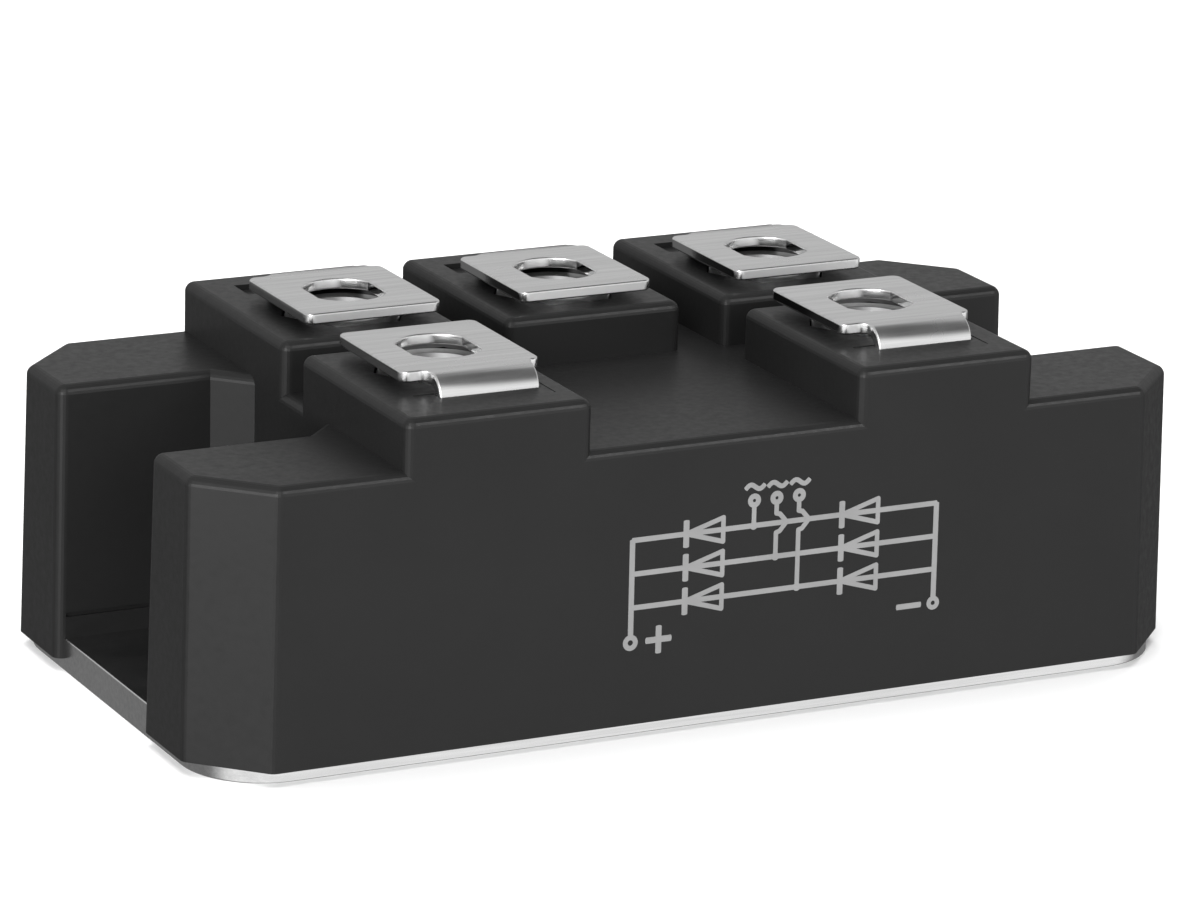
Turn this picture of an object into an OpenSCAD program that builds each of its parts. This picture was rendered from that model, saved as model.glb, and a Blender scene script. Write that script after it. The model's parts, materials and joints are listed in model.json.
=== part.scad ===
// Three-phase diode bridge module with five screw terminals.
// X runs along the length, Y from the printed front face to the back, Z up.
// The origin is the middle of the heat-sink face of the baseplate.

/* [Housing] */
// Length of the housing at its foot
body_l = 94; // [88:1:106]
// Width of the housing at its foot
body_w = 48; // [46:1:56]
// Height of the ears and of the recess floor above the heat-sink face
ear_top = 25.5; // [23:0.5:32]
// Height of the terminal blocks above the ears
block_rise = 4.5; // [3.5:0.5:8]
// Thickness of the housing's outer walls
wall = 2; // [1.6:0.1:2.6]
// Thickness of the housing's top wall between the blocks
roof = 2.4; // [1.6:0.2:4]
// Leg of the chamfer that takes off each vertical corner
corner_chamfer = 5.7; // [3:0.1:8]
// Radius of the moulded outer edges
edge_r = 0.9; // [0.5:0.1:1.2]
// How much each outer wall leans in from its foot to the top of the ears
draft = 0.4; // [0.1:0.1:0.8]

/* [Mounting channels] */
// Depth of each mounting channel, from the end of the housing inwards
channel_depth = 17.3; // [15:0.1:19]
// Width of each channel at the top of the ears
channel_w = 20.4; // [16:0.1:22]
// Leg of the diagonals in the channel's inner corners
channel_diag = 2.9; // [1:0.1:4]
// How much each channel wall leans in towards its foot
channel_draft = 0.4; // [0.1:0.1:0.8]
// Diameter of the mounting holes
mount_hole_d = 5.6; // [5:0.1:6]
// Distance of each mounting hole from the end of the housing
mount_hole_inset = 8; // [7:0.1:8.5]

/* [Terminal blocks] */
// Width of each of the five blocks
block_w = 17.1; // [15.5:0.1:18]
// Depth of the three blocks of the back row
ac_block_d = 22.2; // [21:0.1:22.8]
// Depth of the two blocks of the front row
dc_block_d = 21.4; // [20.5:0.1:22]
// How far the two left-hand terminals sit inwards of the middles of their blocks
left_shift = 0.8; // [0:0.1:1]

/* [Terminals] */
// Width of a terminal plate
plate_w = 12.8; // [12:0.1:13.5]
// Depth of a terminal plate, up to its bend
plate_d = 13; // [12:0.1:13.5]
// Thickness of the terminal strip
plate_t = 1; // [0.7:0.1:1.2]
// Gap between a block's top and the terminal plate
plate_gap = 0.8; // [0.5:0.1:1.5]
// Distance of the two rows of terminal holes from the centre line
row_y = 9.6; // [9.4:0.1:10]
// Width of the strip at its bend and down its leg
leg_w = 9.2; // [7:0.1:9.4]
// Distance of the narrow part of the strip from the right-hand edge of the plate
neck_side = 1.1; // [1:0.1:1.6]
// Radius of the inner corner between the plate and the narrow part
relief_r = 1; // [0.5:0.1:1.4]
// Radius of the plate's corners
plate_corner_r = 0.8; // [0.3:0.1:1]
// Outer radius of the bend
bend_r = 2.3; // [1.5:0.1:2.5]
// Diameter of the clearance hole in the plate
plate_hole_d = 7.4; // [6.8:0.1:8]
// Distance between the two flats of that hole
plate_hole_flats = 6.3; // [6.1:0.1:6.6]
// Length of the foot that is soldered down
foot_l = 4.2; // [3:0.1:4.4]

/* [Terminal nuts] */
// Distance across the nut's flats
nut_af = 10; // [9:0.1:11]
// Height of the nut
nut_h = 5; // [4:0.1:5.5]
// Diameter of the nut's bore, at the crests of its thread
nut_bore_d = 5; // [4.5:0.1:5.4]
// How far the nut stands out of its pocket
nut_proud = 0.2; // [0:0.1:0.4]
// Clearance between the nut and each wall of its pocket
nut_clear = 0.15; // [0.05:0.05:0.3]

/* [Baseplate] */
// Thickness of the metal baseplate
base_t = 3; // [2.5:0.1:4]
// Height of the baseplate's edge that shows below the housing
base_show = 1.2; // [0.6:0.1:1.8]
// Distance of the baseplate's edge from the housing's outer face
base_inset = 0.9; // [0.6:0.1:1.2]
// Radius of the baseplate's corners in plan
base_corner_r = 7; // [4:0.5:9]

/* [Insides] */
// Thickness of the ceramic insulator
ceramic_t = 0.6; // [0.4:0.1:1]
// Thickness of the copper on the ceramic
copper_t = 0.4; // [0.2:0.1:0.6]
// Side of a square diode chip
chip_w = 6; // [4:0.1:6.4]
// Thickness of a diode chip
chip_t = 0.4; // [0.3:0.1:0.6]
// Width of the straps from the chips
strap_w = 3.2; // [2:0.1:3.4]
// Thickness of the straps
strap_t = 0.4; // [0.3:0.1:0.6]
// Height of the straps' arches above the ceramic's copper
strap_rise = 2.6; // [2:0.1:4]
// Gap between neighbouring copper areas
copper_gap = 0.7; // [0.5:0.1:1]
// Depth of the silicone gel above the baseplate
gel_h = 6.5; // [5.5:0.5:8]
// Depth of the epoxy above the gel
epoxy_h = 5; // [3:0.5:6]

/* [Hidden] */

eps = 0.01;
// How far a cutter runs past the surface that it opens
over = 5;
smooth = 48;
edge_sides = 24;
// What a 45 degree corner's leg loses when both its sides move in by 1
corner_share = 2 - sqrt(2);

// Main levels
block_top = ear_top + block_rise;
roof_under = ear_top - roof;
plate_under = block_top + plate_gap;
plate_top = plate_under + plate_t;

// Plan of the housing
half_l = body_l / 2;
half_w = body_w / 2;
end_x = half_l - channel_depth;
top_half_w = half_w - draft;
channel_half = channel_w / 2;
channel_foot_half = channel_half - channel_draft;

// Terminal positions: X of the outer blocks, and the side of the leg in each row
block_x = end_x - block_w / 2;
left_x = block_x - left_shift;
plate_end = row_y + plate_d / 2;
leg_y = plate_end + bend_r;
neck_x = (plate_w - leg_w) / 2 - neck_side;
slot_end = 0.5;
slot_side = 0.35;
slot_w = leg_w + 2 * (neck_x + slot_end);
slot_recess = 0.5;
slot_recess_d = 2.2;

// Nut pockets
nut_top = block_top + nut_proud;
pocket_floor = nut_top - nut_h;
pocket_af = nut_af + 2 * nut_clear;
nut_lead = 0.8;
nut_face_in = 0.3;
nut_chamfer_angle = 30;
screw_well_d = 7;
screw_well_h = 4;
well_wall = 1.5;

// Groove along the foot of the channel walls
foot_line_z = base_t + 1.9;
foot_line_h = 0.4;
foot_line_d = 0.3;
foot_line_inset = 1;

// Central cavity and what lies in it
cavity_x = end_x - wall;
cavity_y = half_w - draft - wall;
ceramic_margin = 0.8;
ceramic_x = cavity_x - ceramic_margin;
ceramic_y = cavity_y - ceramic_margin;
ceramic_top = base_t + ceramic_t;
copper_top = ceramic_top + copper_t;
copper_margin = 0.4;
copper_x = ceramic_x - copper_margin;
copper_y = ceramic_y - copper_margin;
island_w = (2 * copper_x - 2 * copper_gap) / 3;
island_x = island_w + copper_gap;
island_y0 = 1.5;
plus_y1 = island_y0 - copper_gap;
plus_strip_d = 10;
plus_y0 = plus_y1 - plus_strip_d;
minus_y1 = plus_y0 - copper_gap;
tab_margin = 0.1;
plus_tab_x1 = -left_x + neck_x + leg_w / 2 + tab_margin;
chip_edge = 0.2;
chip_side = island_w / 2 - chip_w / 2 - chip_edge;
chip_top = copper_top + chip_t;
chip_inset = 2;
upper_chip_y = plus_y1 - chip_w / 2 - chip_inset;
lower_chip_y = island_y0 + chip_w / 2 + chip_inset;
strap_foot = 2.6;
pad_inset = 0.8;
pad_edge = 0.2;
gel_top = base_t + gel_h;
epoxy_top = gel_top + epoxy_h;

ac_block_x = [-block_x, 0, block_x];
dc_block_x = [-block_x, block_x];
ac_x = [-left_x, 0, block_x];
dc_x = [-left_x, block_x];

// ---------- plan outlines ----------

// Rectangle with 45 degree corners, as points
function chamfered_rect(hx, hy, c) = [
    [hx - c, -hy], [hx, -hy + c], [hx, hy - c], [hx - c, hy],
    [-hx + c, hy], [-hx, hy - c], [-hx, -hy + c], [-hx + c, -hy]];

// Mounting channel at the +X end with diagonal inner corners, as points; r widens it all round
function channel_plan(half, r) =
    let(y = half + r, x = end_x - r, c = channel_diag + r * corner_share)
        [[half_l + over, -y], [half_l + over, y], [x + c, y], [x, y - c], [x, -y + c],
            [x + c, -y]];

// Straight-sided solid from one outline at its foot to a like one at height h
module between(foot, top, h) {
    n = len(foot);
    polyhedron(
        points = concat([for (p = foot) [p[0], p[1], 0]], [for (p = top) [p[0], p[1], h]]),
        faces = concat([[for (i = [0:n - 1]) i]], [[for (i = [n - 1:-1:0]) n + i]],
            [for (i = [0:n - 1]) [i, n + i, n + (i + 1) % n, (i + 1) % n]]));
}

// Rounded rectangle from straight pieces and circles
module rounded_rect(hx, hy, r) {
    square([2 * (hx - r), 2 * hy], center = true);
    square([2 * hx, 2 * (hy - r)], center = true);
    for (sx = [-1, 1], sy = [-1, 1])
        translate([sx * (hx - r), sy * (hy - r)]) circle(r = r, $fn = smooth);
}

// Both ends of the part
module both_ends() {
    children();
    mirror([1, 0, 0]) children();
}

// ---------- housing ----------

// Footprint of a block in the moulding's inner skeleton
module block_core(x, y0, y1) {
    translate([x - block_w / 2 + edge_r, y0, ear_top / 2])
        cube([block_w - 2 * edge_r, y1 - y0, block_top - edge_r - ear_top / 2]);
}

// The outer form less its edge radius all round
module housing_core() {
    foot_x = half_l - edge_r;
    foot_y = half_w - edge_r;
    core_h = ear_top - edge_r - base_show;
    top_y = top_half_w - edge_r;
    core_chamfer = corner_chamfer - edge_r * corner_share;
    difference() {
        translate([0, 0, base_show])
            between(chamfered_rect(foot_x, foot_y, core_chamfer),
                chamfered_rect(foot_x - draft, top_y, core_chamfer), core_h);
        both_ends() translate([0, 0, base_show - 1])
            between(channel_plan(channel_foot_half, edge_r),
                channel_plan(channel_half, edge_r), core_h + 2);
    }
    for (x = ac_block_x) block_core(x, top_half_w - ac_block_d + edge_r, top_y);
    for (x = dc_block_x) block_core(x, -top_y, -top_half_w + dc_block_d - edge_r);
}

// Outer form with rounded edges, flat at its foot
module housing_outer() {
    difference() {
        minkowski() {
            housing_core();
            sphere(r = edge_r, $fn = edge_sides);
        }
        translate([-body_l, -body_w, base_show - over])
            cube([2 * body_l, 2 * body_w, over]);
    }
}

// Hollows under the ears
module ear_hollow() {
    y0 = channel_half + wall;
    y1 = half_w - draft - wall;
    x0 = end_x + channel_diag / 2;
    x1 = half_l - draft - wall;
    c = corner_chamfer;
    for (s = [-1, 1])
        translate([0, 0, base_t - eps])
            linear_extrude(roof_under - base_t)
                polygon([[x0, s * y0], [x1, s * y0], [x1, s * (y1 - c)], [x1 - c, s * y1],
                    [x0, s * y1]]);
}

// Cups that hold the nuts and give their screws room
module screw_wells() {
    for (x = ac_x) translate([x, row_y, 0]) screw_well();
    for (x = dc_x) translate([x, -row_y, 0]) screw_well();
}
module screw_well() {
    translate([0, 0, pocket_floor - screw_well_h - well_wall])
        cylinder(d = screw_well_d + 2 * well_wall, h = ear_top - pocket_floor
            + screw_well_h + well_wall - edge_r, $fn = smooth);
}

// Hexagonal nut pocket with its screw well
module nut_pocket() {
    translate([0, 0, pocket_floor])
        cylinder(d = pocket_af / cos(30), h = nut_h + over, $fn = 6);
    translate([0, 0, pocket_floor - screw_well_h])
        cylinder(d = screw_well_d, h = screw_well_h + 1, $fn = smooth);
}

// Slot that a leg comes up through, with the shallow step behind it; the leg is on +Y
module leg_slot() {
    translate([-slot_w / 2, leg_y - plate_t - slot_side, roof_under - 1])
        cube([slot_w, plate_t + 2 * slot_side, block_top - roof_under + over]);
    translate([-slot_w / 2, leg_y - plate_t - slot_side, block_top - slot_recess])
        cube([slot_w, slot_recess_d + plate_t, slot_recess + over]);
}

// Line along the foot of the channel walls
module foot_lines() {
    for (s = [-1, 1])
        translate([end_x + channel_diag, s * channel_foot_half, foot_line_z])
            translate([0, -foot_line_d, 0])
                cube([channel_depth - channel_diag - foot_line_inset, 2 * foot_line_d,
                    foot_line_h]);
}

// Room for the baseplate inside the skirt
module base_seat() {
    translate([0, 0, base_show - 1])
        linear_extrude(base_t - base_show + 1)
            rounded_rect(half_l - base_inset, half_w - base_inset, base_corner_r);
}

module housing() {
    color([0.21, 0.21, 0.22]) difference() {
        union() {
            difference() {
                housing_outer();
                translate([-cavity_x, -cavity_y, base_t - eps])
                    cube([2 * cavity_x, 2 * cavity_y, roof_under - base_t + eps]);
                both_ends() ear_hollow();
            }
            screw_wells();
        }
        base_seat();
        both_ends() foot_lines();
        for (x = ac_x) {
            translate([x, row_y, 0]) nut_pocket();
            translate([x, 0, 0]) leg_slot();
        }
        for (x = dc_x) {
            translate([x, -row_y, 0]) nut_pocket();
            translate([x, 0, 0]) mirror([0, 1, 0]) leg_slot();
        }
    }
}

// ---------- baseplate ----------

module baseplate() {
    color([0.78, 0.79, 0.8]) difference() {
        linear_extrude(base_t)
            rounded_rect(half_l - base_inset, half_w - base_inset, base_corner_r);
        for (s = [-1, 1])
            translate([s * (half_l - mount_hole_inset), 0, -1])
                cylinder(d = mount_hole_d, h = base_t + 2, $fn = smooth);
    }
}

// ---------- terminals ----------

// Clearance hole with two flats
module double_d(d, flats) {
    intersection() {
        circle(d = d, $fn = smooth);
        square([flats, 2 * d], center = true);
    }
}

// Plan of the strip's bend: the narrow part, with a rounded inner corner at each side
module neck_plan() {
    translate([neck_x - leg_w / 2, plate_end]) square([leg_w, bend_r]);
    relief_corner(neck_x + leg_w / 2, 1, neck_side);
    relief_corner(neck_x - leg_w / 2, -1, plate_w - leg_w - neck_side);
}
module relief_corner(x, side, room) {
    r = max(min(relief_r, room - plate_corner_r), relief_r / 8);
    difference() {
        translate([side > 0 ? x - eps : x - r, plate_end]) square([r + eps, r]);
        translate([x + side * r, plate_end + r]) circle(r = r, $fn = smooth);
    }
}

// Bent strip with its leg on +Y; foot_z is the surface that it is soldered to
module terminal(x, foot_z) {
    translate([x, 0, 0]) {
        translate([0, 0, plate_under]) linear_extrude(plate_t) difference() {
            translate([0, row_y]) rounded_rect(plate_w / 2, plate_d / 2, plate_corner_r);
            translate([0, row_y]) double_d(plate_hole_d, plate_hole_flats);
        }
        intersection() {
            translate([0, plate_end, plate_top - bend_r]) rotate([90, 0, 90])
                translate([0, 0, -plate_w]) linear_extrude(2 * plate_w) intersection() {
                    difference() {
                        circle(r = bend_r, $fn = smooth);
                        circle(r = bend_r - plate_t, $fn = smooth);
                    }
                    square(2 * bend_r);
                }
            translate([0, 0, plate_top - bend_r - over])
                linear_extrude(bend_r + 2 * over) neck_plan();
        }
        translate([neck_x - leg_w / 2, leg_y - plate_t, foot_z + plate_t])
            cube([leg_w, plate_t, plate_top - bend_r - foot_z - plate_t]);
        translate([neck_x - leg_w / 2, leg_y - foot_l, foot_z])
            cube([leg_w, foot_l, plate_t]);
    }
}

module ac_terminal(i) { color([0.8, 0.8, 0.8]) terminal(ac_x[i], copper_top); }
module dc_terminal(i) {
    color([0.8, 0.8, 0.8]) mirror([0, 1, 0]) terminal(dc_x[i], copper_top);
}

// ---------- nuts ----------

module hex_nut(x, y) {
    corner_r = nut_af / 2 / cos(30);
    face_r = nut_af / 2 - nut_face_in;
    rise = (corner_r - face_r) * tan(nut_chamfer_angle);
    color([0.72, 0.72, 0.73]) translate([x, y, pocket_floor]) difference() {
        intersection() {
            cylinder(r = corner_r, h = nut_h, $fn = 6);
            rotate_extrude($fn = smooth)
                polygon([[0, 0], [face_r, 0], [face_r + 2 * (corner_r - face_r), 2 * rise],
                    [face_r + 2 * (corner_r - face_r), nut_h - 2 * rise], [face_r, nut_h],
                    [0, nut_h]]);
        }
        translate([0, 0, -over]) cylinder(d = nut_bore_d, h = nut_h + 2 * over, $fn = smooth);
        bore_lead();
        translate([0, 0, nut_h]) mirror([0, 0, 1]) bore_lead();
    }
}

// Cone that leads a screw into the thread
module bore_lead() {
    translate([0, 0, -eps])
        cylinder(d1 = nut_bore_d + 2 * nut_lead, d2 = nut_bore_d, h = nut_lead + eps,
            $fn = smooth);
}

// ---------- insides ----------

module ceramic_insulator() {
    color([0.93, 0.93, 0.9])
        translate([-ceramic_x, -ceramic_y, base_t])
            cube([2 * ceramic_x, 2 * ceramic_y, ceramic_t]);
}

// A flat area of copper between two corners
module copper_area(x0, y0, x1, y1) {
    translate([x0, y0, ceramic_top]) cube([x1 - x0, y1 - y0, copper_t]);
}

module copper_ac(i) {
    cx = (i - 1) * island_x;
    color([0.8, 0.5, 0.32])
        copper_area(cx - island_w / 2, island_y0, cx + island_w / 2, copper_y);
}

module copper_plus() {
    color([0.8, 0.5, 0.32]) union() {
        copper_area(-copper_x, plus_y0, copper_x, plus_y1);
        copper_area(-copper_x, -copper_y, plus_tab_x1, plus_y0 + eps);
    }
}

module copper_minus() {
    color([0.8, 0.5, 0.32])
        copper_area(plus_tab_x1 + copper_gap, -copper_y, copper_x, minus_y1);
}

module chip(x, y) {
    color([0.35, 0.36, 0.4])
        translate([x - chip_w / 2, y - chip_w / 2, copper_top]) cube([chip_w, chip_w, chip_t]);
}
module diode_upper(i) { chip((i - 1) * island_x - chip_side, upper_chip_y); }
module diode_lower(i) { chip((i - 1) * island_x + chip_side, lower_chip_y); }

// Arched strap from a chip's top at y_chip to the copper at y_pad
module strap(x, y_chip, y_pad) {
    dir = y_pad > y_chip ? 1 : -1;
    f = strap_foot / 2;
    t = strap_t;
    za = chip_top;
    zb = copper_top;
    zp = copper_top + strap_rise;
    span = abs(y_pad - y_chip);
    color([0.8, 0.5, 0.32])
        translate([x - strap_w / 2, y_chip, 0]) scale([1, dir, 1])
            rotate([90, 0, 90]) linear_extrude(strap_w)
                polygon([[-f, za], [f + t, za], [f + t, zp - t], [span - f - t, zp - t],
                    [span - f - t, zb], [span + f, zb], [span + f, zb + t],
                    [span - f, zb + t], [span - f, zp], [f, zp], [f, za + t], [-f, za + t]]);
}
module strap_upper(i) {
    strap((i - 1) * island_x - chip_side, upper_chip_y, island_y0 + strap_foot / 2 + pad_inset);
}
module strap_lower(i) {
    strap((i - 1) * island_x + chip_side, lower_chip_y, minus_y1 - strap_foot / 2 - pad_edge);
}

// Everything that stands in the potting
module potted_parts() {
    ceramic_insulator();
    for (i = [0:2]) {
        copper_ac(i);
        diode_upper(i);
        diode_lower(i);
        strap_upper(i);
        strap_lower(i);
        ac_terminal(i);
    }
    for (i = [0:1]) dc_terminal(i);
    copper_plus();
    copper_minus();
}

module silicone_gel() {
    color([0.85, 0.87, 0.9]) difference() {
        translate([-cavity_x, -cavity_y, base_t]) cube([2 * cavity_x, 2 * cavity_y, gel_h]);
        potted_parts();
    }
}

module epoxy_potting() {
    color([0.12, 0.12, 0.13]) difference() {
        translate([-cavity_x, -cavity_y, gel_top]) cube([2 * cavity_x, 2 * cavity_y, epoxy_h]);
        for (i = [0:2]) ac_terminal(i);
        for (i = [0:1]) dc_terminal(i);
    }
}

baseplate();
housing();
ac_terminal(0);  // terminal_ac_left
ac_terminal(1);  // terminal_ac_middle
ac_terminal(2);  // terminal_ac_right
dc_terminal(0);  // terminal_dc_plus
dc_terminal(1);  // terminal_dc_minus
hex_nut(ac_x[0], row_y);  // nut_ac_left
hex_nut(ac_x[1], row_y);  // nut_ac_middle
hex_nut(ac_x[2], row_y);  // nut_ac_right
hex_nut(dc_x[0], -row_y);  // nut_dc_plus
hex_nut(dc_x[1], -row_y);  // nut_dc_minus
ceramic_insulator();
copper_ac(0);  // copper_ac_left
copper_ac(1);  // copper_ac_middle
copper_ac(2);  // copper_ac_right
copper_plus();
copper_minus();
diode_upper(0);  // diode_upper_left
diode_upper(1);  // diode_upper_middle
diode_upper(2);  // diode_upper_right
diode_lower(0);  // diode_lower_left
diode_lower(1);  // diode_lower_middle
diode_lower(2);  // diode_lower_right
strap_upper(0);  // strap_upper_left
strap_upper(1);  // strap_upper_middle
strap_upper(2);  // strap_upper_right
strap_lower(0);  // strap_lower_left
strap_lower(1);  // strap_lower_middle
strap_lower(2);  // strap_lower_right
silicone_gel();
epoxy_potting();
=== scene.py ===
"""Looks of a three-phase diode bridge module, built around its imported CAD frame.

Lengths are in metres: +X runs along the printed front, +Y from that front to the back row of
terminals, +Z up from the heat sink. The print alone is laid out in millimetres.
"""

import json
import math

import bmesh
import bpy
from mathutils import Matrix, Vector


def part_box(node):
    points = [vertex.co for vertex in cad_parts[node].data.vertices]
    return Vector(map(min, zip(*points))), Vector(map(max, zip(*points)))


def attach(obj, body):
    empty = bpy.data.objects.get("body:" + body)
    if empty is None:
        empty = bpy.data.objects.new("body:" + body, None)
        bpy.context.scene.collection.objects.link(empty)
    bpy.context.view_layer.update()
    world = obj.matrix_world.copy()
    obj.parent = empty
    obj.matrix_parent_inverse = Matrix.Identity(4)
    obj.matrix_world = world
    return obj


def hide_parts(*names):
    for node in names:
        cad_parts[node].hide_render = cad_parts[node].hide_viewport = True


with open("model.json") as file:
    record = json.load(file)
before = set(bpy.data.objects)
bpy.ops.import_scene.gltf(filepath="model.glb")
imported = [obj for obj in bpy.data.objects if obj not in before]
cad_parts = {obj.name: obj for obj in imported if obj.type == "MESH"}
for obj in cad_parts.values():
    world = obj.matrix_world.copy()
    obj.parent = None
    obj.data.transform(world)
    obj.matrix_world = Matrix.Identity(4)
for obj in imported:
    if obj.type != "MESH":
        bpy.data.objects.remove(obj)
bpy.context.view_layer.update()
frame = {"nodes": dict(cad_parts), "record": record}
MM = 0.001


# ---------- the frame's places ----------

MOUNTS = {m["name"]: m for m in frame["record"]["mounts"]}
FRONT_TERMINALS = ("dc_plus", "dc_minus")
TERMINALS = ("ac_left", "ac_middle", "ac_right", *FRONT_TERMINALS)
STRIP = 1.0 * MM            # thickness of the terminals' strip
PLATE_GAP = 0.8 * MM        # from a block's top to the underside of its plate
PLATE_UNDER = MOUNTS["contact_ac_left"]["pos_m"][2] - STRIP


# ---------- node helpers ----------

def feed(tree, socket, value):
    """Links an input to an output, or sets its own number."""
    if hasattr(value, "links"):
        tree.links.new(value, socket)
    else:
        socket.default_value = value


class Nodes:
    """A material's node tree with short calls for the nodes used here."""

    # Size of the normal's part along an axis, from where a face starts to count as facing it
    FACING_FROM, FACING_FULL = 0.94, 0.985

    def __init__(self, name):
        self.material = bpy.data.materials.new(name)
        self.material.use_nodes = True
        self.tree = self.material.node_tree
        self.shader = self.tree.nodes["Principled BSDF"]
        self.object_coords = self.add("ShaderNodeTexCoord").outputs["Object"]

    def add(self, kind, **values):
        node = self.tree.nodes.new(kind)
        for key, value in values.items():
            setattr(node, key, value)
        return node

    def link(self, a, b):
        self.tree.links.new(a, b)

    def scaled(self, scale):
        """The piece's own coordinates, stretched."""
        node = self.add("ShaderNodeMapping")
        node.inputs["Scale"].default_value = scale
        self.link(self.object_coords, node.inputs["Vector"])
        return node.outputs["Vector"]

    def noise(self, scale, detail, roughness=0.5, vector=None):
        node = self.add("ShaderNodeTexNoise")
        node.inputs["Scale"].default_value = scale
        node.inputs["Detail"].default_value = detail
        node.inputs["Roughness"].default_value = roughness
        self.link(vector or self.object_coords, node.inputs["Vector"])
        return node.outputs["Fac"]

    def spread(self, value, low, high, start=0.3, end=0.7):
        """Maps start..end to low..high; the defaults are where most of a noise's values lie."""
        node = self.add("ShaderNodeMapRange")
        node.inputs["From Min"].default_value = start
        node.inputs["From Max"].default_value = end
        feed(self.tree, node.inputs["To Min"], low)
        feed(self.tree, node.inputs["To Max"], high)
        self.link(value, node.inputs["Value"])
        return node.outputs["Result"]

    def math(self, operation, *values):
        node = self.add("ShaderNodeMath", operation=operation)
        for socket, value in zip(node.inputs, values):
            feed(self.tree, socket, value)
        return node.outputs[0]

    def facing(self, axis, height):
        """1 on faces that look along X or Y above a height, 0 elsewhere."""
        normal = self.add("ShaderNodeSeparateXYZ")
        self.link(self.add("ShaderNodeNewGeometry").outputs["Normal"], normal.inputs[0])
        place = self.add("ShaderNodeSeparateXYZ")
        self.link(self.object_coords, place.inputs[0])
        along = self.math("ABSOLUTE", normal.outputs[axis])
        facing = self.spread(along, 0, 1, self.FACING_FROM, self.FACING_FULL)
        above = self.math("GREATER_THAN", place.outputs["Z"], height)
        return self.math("MULTIPLY", facing, above)

    def mix(self, factor, a, b):
        """Mixes two colours, each a link or three numbers."""
        node = self.add("ShaderNodeMix", data_type="RGBA")
        self.link(factor, node.inputs["Factor"])
        for key, colour in (("A", a), ("B", b)):
            value = colour if hasattr(colour, "links") else (*colour, 1)
            feed(self.tree, node.inputs[key], value)
        return node.outputs["Result"]

    def bump(self, height, strength, distance):
        node = self.add("ShaderNodeBump")
        node.inputs["Strength"].default_value = strength
        node.inputs["Distance"].default_value = distance
        self.link(height, node.inputs["Height"])
        return node.outputs["Normal"]

    def colour(self, noise, base, low, high):
        """A colour that a noise varies between two shares of its base."""
        darker, lighter = (tuple(c * share for c in base) for share in (low, high))
        return self.mix(self.spread(noise, 0, 1), darker, lighter)

    def roughness(self, noise, middle, less, more):
        """A roughness that a noise varies from a little less to a little more."""
        return self.spread(noise, middle - less, middle + more)

    def surface(self, colour, roughness, metallic=0.0, normal=None):
        """Joins a finish to the shader and returns the material."""
        self.link(colour, self.shader.inputs["Base Color"])
        self.link(roughness, self.shader.inputs["Roughness"])
        if normal:
            self.link(normal, self.shader.inputs["Normal"])
        self.shader.inputs["Metallic"].default_value = metallic
        return self.material


# ---------- materials ----------

BRUSHED = (60, 2500, 2500)      # noise per metre: long lines along X, fine across
GRAINY = (900, 900, 900)        # the same every way

# Grey and roughness of a strip's cut edges, by the axis that they look along: the rougher finish
# is the real cut, while the lighter grey on edges that look along Y is painted light and the
# darker grey on edges that look along X is painted shade
SHEARED_AND_PAINTED_LIGHT = {"Y": (0.9, 0.55), "X": (0.5, 0.1)}


def grey(value):
    return (value, value, value)


def plastic_material(name, base, rough, gloss):
    """Satin moulded plastic with a fine grain and faint mottling."""
    n = Nodes(name)
    cloud = n.noise(scale=90, detail=4)
    grain = n.noise(scale=1400, detail=3, roughness=0.6)
    n.shader.inputs["Specular IOR Level"].default_value = gloss
    return n.surface(n.colour(cloud, grey(base), low=0.95, high=1.06),
                     n.roughness(grain, rough, less=0.05, more=0.06),
                     normal=n.bump(grain, strength=0.06, distance=0.1 * MM))


def metal_material(name, base, rough, lines, sheared_and_lit_above=None):
    """Plated metal with fine lines, and rougher cut edges above a height, painted lighter where
    they look along Y and darker where they look along X.
    """
    n = Nodes(name)
    fine = n.noise(scale=1.0, detail=5, roughness=0.6, vector=n.scaled(lines))
    cloud = n.noise(scale=160, detail=3)
    colour = n.colour(fine, grey(base), low=0.88, high=1.07)
    roughness = n.roughness(cloud, rough, less=0.04, more=0.05)
    if sheared_and_lit_above is not None:
        for axis, (painted_grey, cut_rough) in SHEARED_AND_PAINTED_LIGHT.items():
            lit_cut_mask = n.facing(axis, sheared_and_lit_above)
            # Painted light and shade: cut edges that look along Y get a lighter grey, those that
            # look along X a darker grey
            colour = n.mix(lit_cut_mask, colour, grey(painted_grey))
            roughness = n.spread(lit_cut_mask, roughness, cut_rough, 0, 1)
    return n.surface(colour, roughness, metallic=1.0,
                     normal=n.bump(fine, strength=0.06, distance=0.04 * MM))


def plain_material(name, base, rough, metallic=0.0):
    """Mottled finish for the print and the sealed inner pieces."""
    n = Nodes(name)
    cloud = n.noise(scale=220, detail=3)
    return n.surface(n.colour(cloud, base, low=0.85, high=1.0),
                     n.roughness(cloud, rough, less=0.05, more=0.05), metallic)


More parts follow.
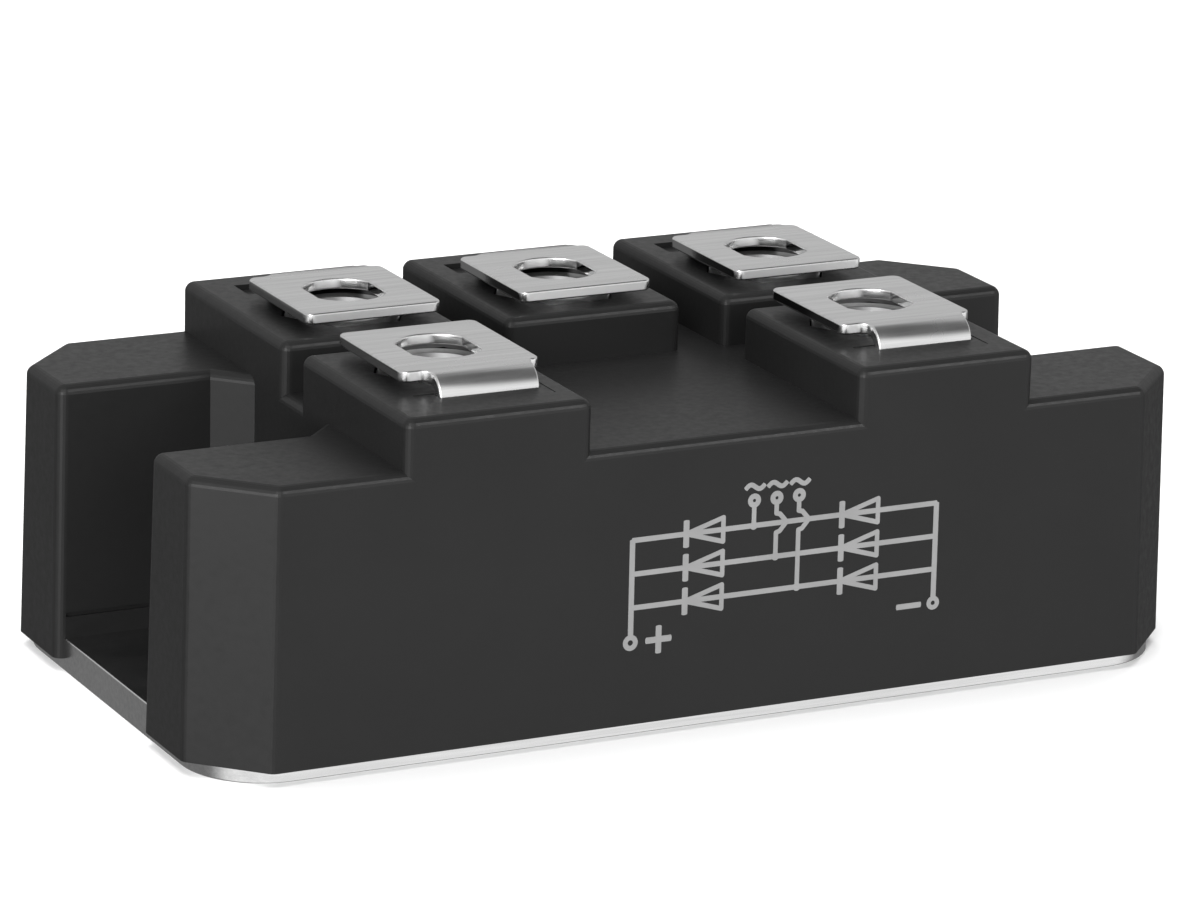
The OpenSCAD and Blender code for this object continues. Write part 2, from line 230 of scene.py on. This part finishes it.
MATERIALS = {
    "housing": plastic_material("housing_plastic", 0.0098, rough=0.38, gloss=0.17),
    "baseplate": metal_material("baseplate_nickel", 0.72, rough=0.2, lines=BRUSHED),
    # The terminals' cut edges above the plates' underside carry painted light and painted shade
    "terminal": metal_material("terminal_nickel", 0.76, rough=0.24, lines=BRUSHED,
                               sheared_and_lit_above=PLATE_UNDER),
    "nut": metal_material("nut_steel", 0.75, rough=0.34, lines=GRAINY),
    "print": plain_material("print_ink", (0.25, 0.25, 0.25), rough=0.55),
    "ceramic": plain_material("ceramic_alumina", (0.86, 0.86, 0.83), rough=0.5),
    "copper": plain_material("copper", (0.75, 0.4, 0.25), rough=0.35, metallic=1.0),
    "silicon": plain_material("silicon_chip", (0.2, 0.21, 0.25), rough=0.25, metallic=0.6),
    "gel": plain_material("silicone_gel", (0.75, 0.78, 0.8), rough=0.2),
    "epoxy": plain_material("epoxy", (0.05, 0.05, 0.055), rough=0.35),
}


def dress_cad_nodes():
    """Gives every CAD node the material of its slot in the record."""
    for row in frame["record"]["subparts"]:
        obj = frame["nodes"][row["node"]]
        obj.data.materials.clear()
        obj.data.materials.append(MATERIALS[row["material_slot"]])


# ---------- mesh helpers ----------

SHARP_ANGLE = math.radians(35)      # edges that turn more than this are sharp
WELD_DISTANCE = 0.001 * MM
TERMINAL_EDGE = 0.2 * MM
BASEPLATE_EDGE = 0.15 * MM


def soften_edges(node, width):
    """Rounds a metal piece's sharp edges a little, so that they catch the light."""
    obj = frame["nodes"][node]
    weld = obj.modifiers.new("weld", "WELD")
    weld.merge_threshold = WELD_DISTANCE
    bevel = obj.modifiers.new("edges", "BEVEL")
    bevel.width = width
    bevel.segments = 4
    # The mesh is in triangles with short sides, and clamping to them would undo the rounding
    bevel.use_clamp_overlap = False
    bevel.loop_slide = False
    bevel.limit_method = "ANGLE"
    bevel.angle_limit = SHARP_ANGLE
    bevel.harden_normals = True


def join_rings(bm, rings):
    """Makes the faces between each ring of vertices and the next."""
    count = len(rings[0])
    for a, b in zip(rings, rings[1:]):
        for i in range(count):
            j = (i + 1) % count
            bm.faces.new((a[i], a[j], b[j], b[i]))


def new_piece(name, bm, material):
    """Turns a bmesh into a piece that rides on the part."""
    bmesh.ops.recalc_face_normals(bm, faces=bm.faces)
    bm.normal_update()
    for face in bm.faces:
        face.smooth = True
    for edge in bm.edges:
        edge.smooth = len(edge.link_faces) == 2 and edge.calc_face_angle(0) < SHARP_ANGLE
    mesh = bpy.data.meshes.new(name)
    bm.to_mesh(mesh)
    bm.free()
    mesh.materials.append(MATERIALS[material])
    obj = bpy.data.objects.new(name, mesh)
    bpy.context.scene.collection.objects.link(obj)
    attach(obj, "root")
    return obj


# ---------- nuts with real threads ----------

THREAD_PITCH = 1.0 * MM
THREAD_DEPTH = 0.54 * MM
CREST_SHARE = 0.125             # half of the crest's flat, as a share of the pitch
FLANK_SHARE = 0.3125            # one flank, as a share of the pitch
LEAD = 0.8 * MM                 # chamfer at each end of the bore
FACE_INSET = 0.3 * MM           # from the flats to the end faces' round edge
CHAMFER_SLOPE = math.tan(math.radians(30))
NUT_AROUND = 72                 # vertices round a ring
CHAMFER_STEPS = 5
BORE_STEPS = 80


def thread_rise(phase):
    """Share of the thread's depth at a phase of its turn: 0 on the crest, 1 in the root."""
    from_crest = abs(phase % 1.0 - 0.5)
    return min(max((from_crest - CREST_SHARE) / FLANK_SHARE, 0.0), 1.0)


def nut_piece(terminal):
    """Hexagonal nut with chamfered corners and an M6 thread, in place of its CAD node."""
    node = "nut_" + terminal
    mount = MOUNTS["thread_" + terminal]
    lo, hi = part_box(node)
    cx, cy = mount["pos_m"][:2]
    bore = mount["dims"]["r_mm"] * MM
    height = hi[2] - lo[2]
    flat = (hi[1] - lo[1]) / 2
    corner = (hi[0] - lo[0]) / 2
    face = flat - FACE_INSET
    rise = (corner - face) * CHAMFER_SLOPE

    def outer(angle, z):
        hexagon = flat / math.cos(angle % (math.pi / 3) - math.pi / 6)
        cone = face + min(z, height - z) / CHAMFER_SLOPE
        return min(hexagon, cone)

    def inner(angle, z):
        turn = z / THREAD_PITCH - angle / (2 * math.pi)
        thread = bore + THREAD_DEPTH * thread_rise(turn)
        return max(thread, bore + LEAD - min(z, height - z))

    chamfer_z = [rise * i / CHAMFER_STEPS for i in range(CHAMFER_STEPS + 1)]
    outer_z = chamfer_z + [height - z for z in reversed(chamfer_z)]
    inner_z = [height * i / BORE_STEPS for i in range(BORE_STEPS, -1, -1)]
    angles = [2 * math.pi * i / NUT_AROUND for i in range(NUT_AROUND)]
    bm = bmesh.new()
    rings = []
    for levels, radius in ((outer_z, outer), (inner_z, inner)):
        for z in levels:
            radii = [radius(a, z) for a in angles]
            rings.append([bm.verts.new((cx + r * math.cos(a), cy + r * math.sin(a), lo[2] + z))
                          for a, r in zip(angles, radii)])
    join_rings(bm, rings + rings[:1])
    obj = new_piece("threaded_nut_" + terminal, bm, "nut")
    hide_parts(node)


# ---------- collars round the front terminals' legs ----------

COLLAR_DEPTH = 0.45 * MM
COLLAR_SINK = 0.05 * MM         # from the block's top down to the collar's
COLLAR_AHEAD = 1.8 * MM         # from the leg's front to the collar's front
COLLAR_BACK = 1.3 * MM          # from the leg's front to the collar's back
COLLAR_INSET = 0.65 * MM        # from the plate's sides to the collar's
COLLAR_PLAY = 0.04 * MM         # round the leg


def collar_piece(terminal):
    """Moulded collar that closes the slot round a front terminal's leg, under the block's top."""
    node = "terminal_" + terminal
    obj = frame["nodes"][node]
    lo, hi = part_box(node)
    vertices = [obj.matrix_world @ v.co for v in obj.data.vertices]
    leg = [v.x for v in vertices if v.y < lo[1] + STRIP * 1.1 and v.z < hi[2] - 2 * STRIP]
    inner = (min(leg) - COLLAR_PLAY, lo[1] - COLLAR_PLAY,
             max(leg) + COLLAR_PLAY, lo[1] + STRIP + COLLAR_PLAY)
    outer = (lo[0] + COLLAR_INSET, lo[1] - COLLAR_AHEAD,
             hi[0] - COLLAR_INSET, lo[1] + COLLAR_BACK)
    top = PLATE_UNDER - PLATE_GAP - COLLAR_SINK
    foot = top - COLLAR_DEPTH
    bm = bmesh.new()
    rings = []
    for (x0, y0, x1, y1), z in ((outer, foot), (outer, top), (inner, top), (inner, foot)):
        corners = ((x0, y0), (x1, y0), (x1, y1), (x0, y1))
        rings.append([bm.verts.new((x, y, z)) for x, y in corners])
    join_rings(bm, rings + rings[:1])
    new_piece("collar_" + terminal, bm, "housing")


# ---------- print on the front face; its own lengths are in millimetres ----------

INK = 0.02 * MM                 # height of the ink over the face, in metres
INK_STEP = 0.0004 * MM          # each shape lies this much above the last, in metres
FACE_PROBES = (8 * MM, 20 * MM)  # heights at which the front face is found, in metres
PROBE_START = -60 * MM          # well in front of that face, in metres

BUS_WIDTH = 0.5
ROW_WIDTH = 0.46
SYMBOL_WIDTH = 0.42
BAR_WIDTH = 0.55                # of the diodes' bars and the plus
MINUS_WIDTH = 0.5
END_REACH = 0.35                # how far a line's free end bulges, against 1 for a half circle
CAP_STEPS = 8
RING_STEPS = 32
DOT_STEPS = 24


def circle(x, z, radius, steps):
    angles = [2 * math.pi * i / steps for i in range(steps)]
    return [(x + radius * math.cos(a), z + radius * math.sin(a)) for a in angles]


class FrontPrint:
    """Flat ink shapes on the housing's leaning front; x is along the part, z is its height."""

    DIODE_LENGTH, DIODE_HALF, BAR_EXTRA = 3.5, 1.05, 0.07
    # Points of a supply line's step round a row, across from the line and up from the row
    HOP = ((0, 0.85), (0.35, 0.75), (0.95, 0.05), (0.95, -0.05), (0.35, -0.75), (0, -0.85))
    JUNCTION = 0.36

    def __init__(self):
        housing = frame["nodes"]["housing"]
        low, high = (housing.ray_cast((0, PROBE_START, z), (0, 1, 0))[1] for z in FACE_PROBES)
        self.low = low
        self.up = (high - low).normalized()
        self.out = Vector((1, 0, 0)).cross(self.up).normalized()
        self.bm = bmesh.new()
        self.count = 0

    def loop(self, outline, lift):
        """Vertices over the face, at the outline's places."""
        verts = []
        for x, z in outline:
            start = Vector((x * MM, self.low.y, self.low.z))
            along = (z * MM - self.low.z) / self.up.z
            verts.append(self.bm.verts.new(start + self.up * along + self.out * lift))
        return verts

    def fill(self, outline, hole=None):
        """A filled outline, or the band between an outline and a hole with as many points."""
        self.count += 1
        lift = INK + self.count * INK_STEP
        top, foot = self.loop(outline, lift), self.loop(outline, 0)
        if hole:
            inner, inner_foot = self.loop(hole, lift), self.loop(hole, 0)
            join_rings(self.bm, [foot, top, inner, inner_foot, foot])
        else:
            join_rings(self.bm, [foot, top])
            self.bm.faces.new(top)
            self.bm.faces.new(foot[::-1])

    def stroke(self, points, width):
        """A line of one width through points, with rounded joints and squarish ends."""
        last = len(points) - 2
        for k, ((x0, z0), (x1, z1)) in enumerate(zip(points, points[1:])):
            turn = math.atan2(z1 - z0, x1 - x0)
            outline = []
            for x, z, ahead, is_end in ((x1, z1, turn, k == last),
                                        (x0, z0, turn + math.pi, k == 0)):
                reach = END_REACH if is_end else 1.0
                for i in range(CAP_STEPS + 1):
                    arc = math.pi * i / CAP_STEPS
                    bulge = width / 2 * math.sin(arc) * reach
                    side = -width / 2 * math.cos(arc)
                    outline.append((x + bulge * math.cos(ahead) - side * math.sin(ahead),
                                    z + bulge * math.sin(ahead) + side * math.cos(ahead)))
            self.fill(outline)

    def ring(self, x, z, outer, inner):
        self.fill(circle(x, z, outer, RING_STEPS), circle(x, z, inner, RING_STEPS))

    def diode(self, x, z):
        """Diode symbol that points to -X, with its bar at x."""
        base, half = x + self.DIODE_LENGTH, self.DIODE_HALF
        bar = half + self.BAR_EXTRA
        self.stroke([(x, z - bar), (x, z + bar)], BAR_WIDTH)
        self.stroke([(x, z), (base, z + half), (base, z - half), (x, z)], SYMBOL_WIDTH)

    def drop(self, x, top, bottom, hops):
        """Supply line that steps round the rows it crosses, and ends in a dot."""
        steps = [(x + dx, z + dz) for z in hops for dx, dz in self.HOP]
        self.stroke([(x, top), *steps, (x, bottom)], SYMBOL_WIDTH)
        self.fill(circle(x, bottom, self.JUNCTION, DOT_STEPS))

    def finish(self, name):
        new_piece(name, self.bm, "print")


LEFT_BUS, RIGHT_BUS = -8.75, 20.45
POLE_Z = 8.45                           # centres of the rings at the buses' ends
LEFT_POLE, RIGHT_POLE = (0.7, 0.24), (0.62, 0.2)    # outer and inner radius
LEFT_TAIL, RIGHT_TAIL = 0.6, 0.5        # from a ring's centre to the end of its bus
ROWS = (17.4, 14.45, 11.5)
DIODES = (-3.7, 11.2)
SUPPLY = (2.7, 4.85, 7.0)
SUPPLY_Z = 19.6
SUPPLY_RING = (0.62, 0.15)
SUPPLY_TAIL = 0.4
SIGN_HALF = 1.15                        # half the length of a plus or minus stroke
PLUS_X, MINUS_X = LEFT_BUS + 2.65, RIGHT_BUS - 2.4
WAVE_START, WAVE_Z = -0.85, 20.8        # from its supply line, and up
WAVE_SPAN, WAVE_SWING, WAVE_TILT = 1.8, 0.26, 0.24
WAVE_STEPS = 16


def print_schematic():
    """The three-phase bridge as a standard circuit diagram."""
    p = FrontPrint()
    for x, tail in ((LEFT_BUS, LEFT_TAIL), (RIGHT_BUS, RIGHT_TAIL)):
        p.stroke([(x, ROWS[0]), (x, POLE_Z + tail)], BUS_WIDTH)
    p.ring(LEFT_BUS, POLE_Z, *LEFT_POLE)
    p.ring(RIGHT_BUS, POLE_Z, *RIGHT_POLE)
    for z in ROWS:
        p.stroke([(LEFT_BUS, z), (RIGHT_BUS, z)], ROW_WIDTH)
        for x in DIODES:
            p.diode(x, z)
    # The left supply line ends on the top row, and the other two step round that row
    for x, z, hops in zip(SUPPLY, ROWS, ((), ROWS[:1], ROWS[:1])):
        p.ring(x, SUPPLY_Z, *SUPPLY_RING)
        p.drop(x, SUPPLY_Z - SUPPLY_TAIL, z, hops)
    p.finish("print_schematic")


def print_signs():
    """Plus, minus and alternating signs beside the diagram's ends."""
    p = FrontPrint()
    p.stroke([(PLUS_X - SIGN_HALF, POLE_Z), (PLUS_X + SIGN_HALF, POLE_Z)], BAR_WIDTH)
    p.stroke([(PLUS_X, POLE_Z - SIGN_HALF), (PLUS_X, POLE_Z + SIGN_HALF)], BAR_WIDTH)
    p.stroke([(MINUS_X - SIGN_HALF, POLE_Z), (MINUS_X + SIGN_HALF, POLE_Z)], MINUS_WIDTH)
    shares = [i / WAVE_STEPS for i in range(WAVE_STEPS + 1)]
    wave = [(WAVE_START + WAVE_SPAN * s,
             WAVE_Z + WAVE_SWING * math.sin(2 * math.pi * s) + WAVE_TILT * (s - 0.5))
            for s in shares]
    for x in SUPPLY:
        p.stroke([(x + dx, z) for dx, z in wave], SYMBOL_WIDTH)
    p.finish("print_signs")


# ---------- stage ----------

FLOOR_SIZE = 6
FLOOR_GREY, FLOOR_ROUGH, FLOOR_GLOSS = 0.9, 0.8, 0.1

FRONT_LIGHT = 1.05              # strength of the surroundings in front
LOW_BACK, HIGH_BACK = 0.2, 0.58     # and behind, below and above the horizon
DARK_PATCH = 0.12               # and of the patch that darkens the terminals' bends
DARK_PATCH_WAY = (0.42, -0.27, 0.866)
# Where each change starts and ends: heights of a direction, its Y, and its cosine to the patch
HORIZON_FADE, FRONT_FADE, PATCH_FADE = (-0.15, 0.15), (0.1, -0.5), (0.78, 0.95)

YAW, PITCH, ROLL = (math.radians(a) for a in (-27.171, 16.606, 1.70))
AIM = Vector((0, 0, 15 * MM))
DISTANCE = 0.508922
SIDE_STEP, UP_STEP = 0.18 * MM, 2.598 * MM     # slides the view within the picture
SENSOR_MM, LENS_MM = 36, 174.18


def make_floor():
    bpy.ops.mesh.primitive_plane_add(size=FLOOR_SIZE, location=(0, 0, 0))
    floor = bpy.context.object
    floor.name = "floor"
    n = Nodes("floor_pale")
    n.shader.inputs["Base Color"].default_value = (*grey(FLOOR_GREY), 1)
    n.shader.inputs["Roughness"].default_value = FLOOR_ROUGH
    n.shader.inputs["Specular IOR Level"].default_value = FLOOR_GLOSS
    floor.data.materials.append(n.material)
    floor.visible_glossy = False


def make_light(name, location, target, size, watts):
    """A rectangular softbox that looks at a target."""
    data = bpy.data.lights.new(name, "AREA")
    data.shape = "RECTANGLE"
    data.size, data.size_y = size
    data.energy = watts
    lamp = bpy.data.objects.new(name, data)
    bpy.context.scene.collection.objects.link(lamp)
    lamp.location = location
    way = Vector(target) - Vector(location)
    lamp.rotation_euler = way.to_track_quat("-Z", "Y").to_euler()
    return lamp


def make_lights():
    """Soft studio light; two of the softboxes light the housing's edges and corners alone."""
    top = make_light("top_softbox", (0, 0.1, 0.8), (0, 0, 0), size=(0.9, 0.7), watts=7)
    make_light("key_softbox", (-0.55, -0.6, 0.4), (0, 0, 0.01), size=(0.4, 0.4), watts=6)
    edge = make_light("edge_softbox", (0.394, -0.648, 0.477), (0, 0, 0.02),
                      size=(0.25, 0.25), watts=3)
    corner = make_light("corner_softbox", (-0.66, -0.36, 0.05), (-0.04, 0, 0.01),
                        size=(0.25, 0.08), watts=2.9)
    back = make_light("back_fill", (0.3, 0.9, 0.15), (0, 0, 0.01), size=(0.5, 0.4), watts=5)
    for lamp in (top, back):
        lamp.visible_glossy = False
    receivers = bpy.data.collections.new("softbox_receivers")
    receivers.objects.link(frame["nodes"]["housing"])
    for lamp in (edge, corner):
        lamp.light_linking.receiver_collection = receivers


def make_world():
    """Studio surroundings: bright in front, softer behind, with a dark patch overhead."""
    world = bpy.data.worlds.new("studio")
    world.use_nodes = True
    tree = world.node_tree
    way = tree.nodes.new("ShaderNodeTexCoord").outputs["Generated"]
    split = tree.nodes.new("ShaderNodeSeparateXYZ")
    tree.links.new(way, split.inputs[0])
    overhead = tree.nodes.new("ShaderNodeVectorMath")
    overhead.operation = "DOT_PRODUCT"
    tree.links.new(way, overhead.inputs[0])
    overhead.inputs[1].default_value = DARK_PATCH_WAY

    def ramp(socket, start, end):
        """0 at start, 1 at end, eased between."""
        node = tree.nodes.new("ShaderNodeMapRange")
        node.interpolation_type = "SMOOTHSTEP"
        node.inputs["From Min"].default_value = start
        node.inputs["From Max"].default_value = end
        tree.links.new(socket, node.inputs["Value"])
        return node.outputs["Result"]

    def mix(factor, a, b):
        node = tree.nodes.new("ShaderNodeMix")
        node.data_type = "FLOAT"
        for key, value in (("Factor", factor), ("A", a), ("B", b)):
            feed(tree, node.inputs[key], value)
        return node.outputs["Result"]

    back = mix(ramp(split.outputs["Z"], *HORIZON_FADE), LOW_BACK, HIGH_BACK)
    around = mix(ramp(split.outputs["Y"], *FRONT_FADE), back, FRONT_LIGHT)
    light = mix(ramp(overhead.outputs["Value"], *PATCH_FADE), around, DARK_PATCH)
    background = tree.nodes["Background"]
    tree.links.new(light, background.inputs["Strength"])
    background.inputs["Color"].default_value = (1, 1, 1, 1)
    bpy.context.scene.world = world


def make_camera():
    """Long-lens view from the front left, a little above, slightly rolled."""
    flat = math.cos(PITCH)
    forward = Vector((-math.sin(YAW) * flat, math.cos(YAW) * flat, -math.sin(PITCH)))
    level = forward.cross(Vector((0, 0, 1))).normalized()
    upright = level.cross(forward)
    right = level * math.cos(ROLL) + upright * math.sin(ROLL)
    up = upright * math.cos(ROLL) - level * math.sin(ROLL)
    data = bpy.data.cameras.new("camera")
    data.sensor_width = SENSOR_MM
    data.lens = LENS_MM
    data.clip_start, data.clip_end = 0.01, 20
    camera = bpy.data.objects.new("camera", data)
    bpy.context.scene.collection.objects.link(camera)
    place = AIM - forward * DISTANCE + right * SIDE_STEP + up * UP_STEP
    camera.matrix_world = Matrix((
        (right.x, up.x, -forward.x, place.x),
        (right.y, up.y, -forward.y, place.y),
        (right.z, up.z, -forward.z, place.z),
        (0, 0, 0, 1)))
    bpy.context.scene.camera = camera


dress_cad_nodes()
for terminal in TERMINALS:
    soften_edges("terminal_" + terminal, TERMINAL_EDGE)
    nut_piece(terminal)
for terminal in FRONT_TERMINALS:
    collar_piece(terminal)
soften_edges("baseplate", BASEPLATE_EDGE)
print_schematic()
print_signs()
make_floor()
make_world()
make_lights()
make_camera()
bpy.context.scene.view_settings.view_transform = "Standard"

bpy.context.view_layer.update()
